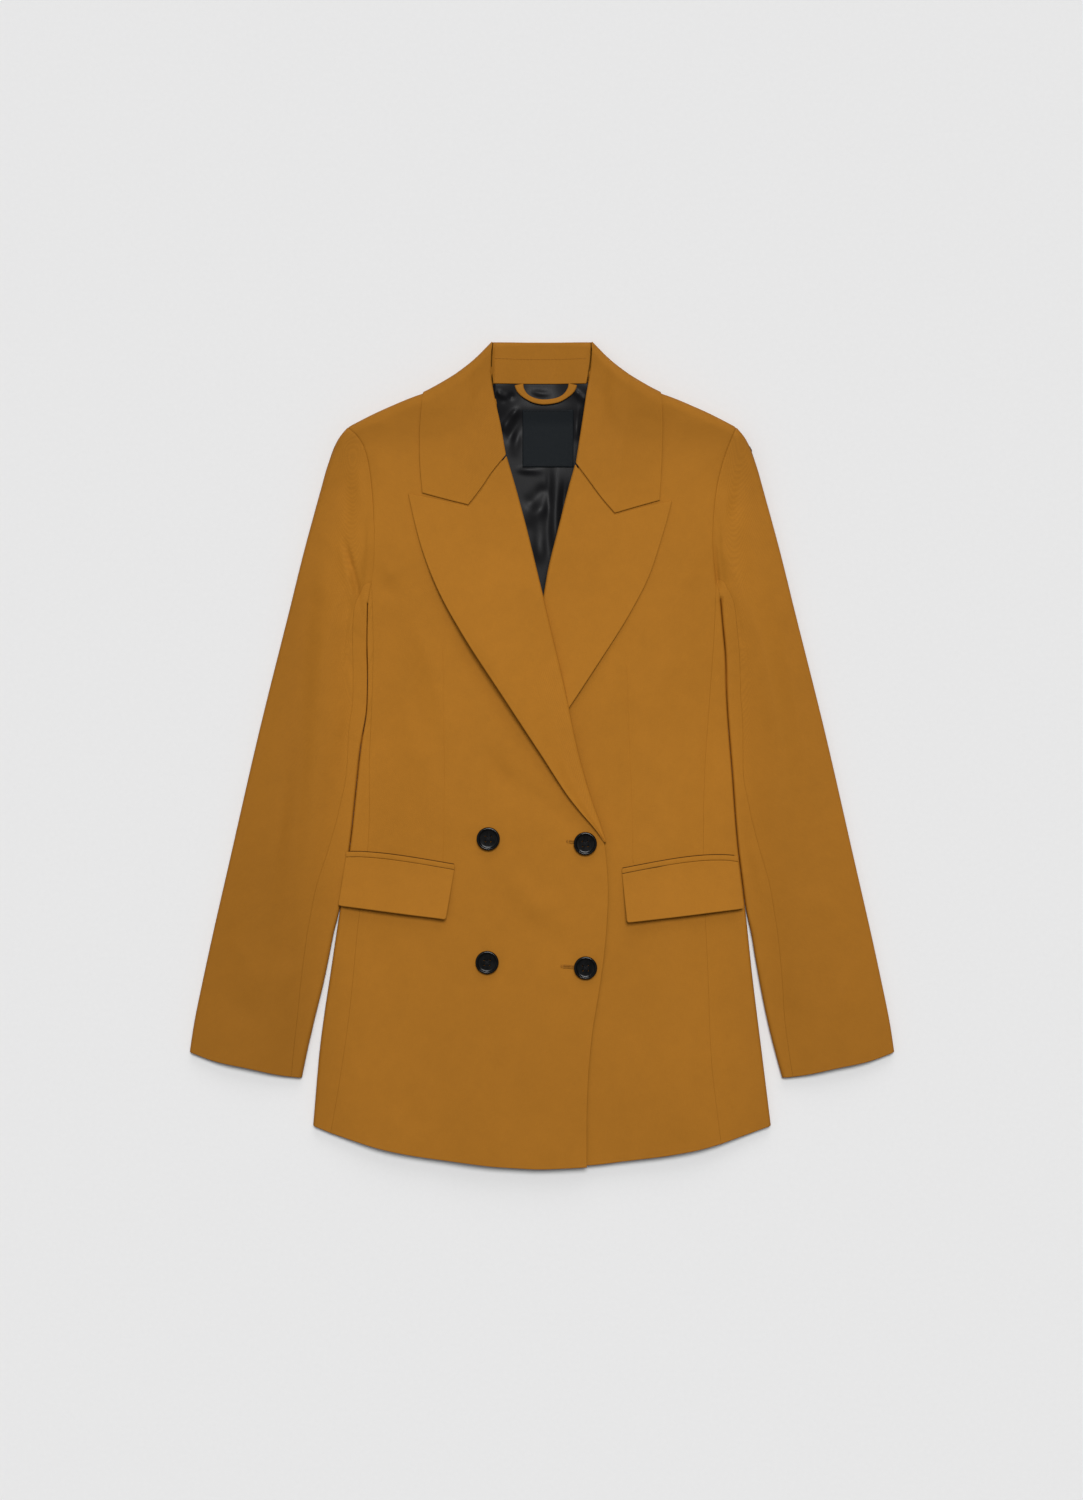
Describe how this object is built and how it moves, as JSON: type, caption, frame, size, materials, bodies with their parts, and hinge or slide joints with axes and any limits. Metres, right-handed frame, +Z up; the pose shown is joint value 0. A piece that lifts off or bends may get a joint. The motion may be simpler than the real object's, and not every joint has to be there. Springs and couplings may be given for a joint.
{
  "type": "double breasted blazer",
  "caption": "Double-breasted blazer laid flat and face up, with peak lapels, flap pockets, long sleeves and buttons in two columns.",
  "frame": {"origin": "on the surface the garment lies on, under the middle of its bounding box", "axes": "+X towards the wearer's left side, +Y from the hem to the collar, +Z up out of the fronts"},
  "size_m": [0.6834, 0.8012, 0.0336],
  "materials": {
    "cloth": "fine worsted wool, dull satin",
    "lining": "satin",
    "label": "woven, blank",
    "button": "polished"
  },
  "bodies": {
    "root": {"front_right": "cloth", "front_left": "cloth", "side_panel_right": "cloth", "side_panel_left": "cloth", "back_right": "cloth", "back_left": "cloth", "sleeve_top_right": "cloth", "sleeve_top_left": "cloth", "sleeve_under_right": "cloth", "sleeve_under_left": "cloth", "lapel_right": "cloth", "lapel_left": "cloth", "collar": "cloth", "collar_stand": "cloth", "hanger_loop": "cloth", "welt_right": "cloth", "welt_left": "cloth", "flap_right": "cloth", "flap_left": "cloth", "back_lining": "lining", "label": "label", "button_upper_right": "button", "button_upper_left": "button", "button_lower_right": "button", "button_lower_left": "button"}
  },
  "joints": []
}
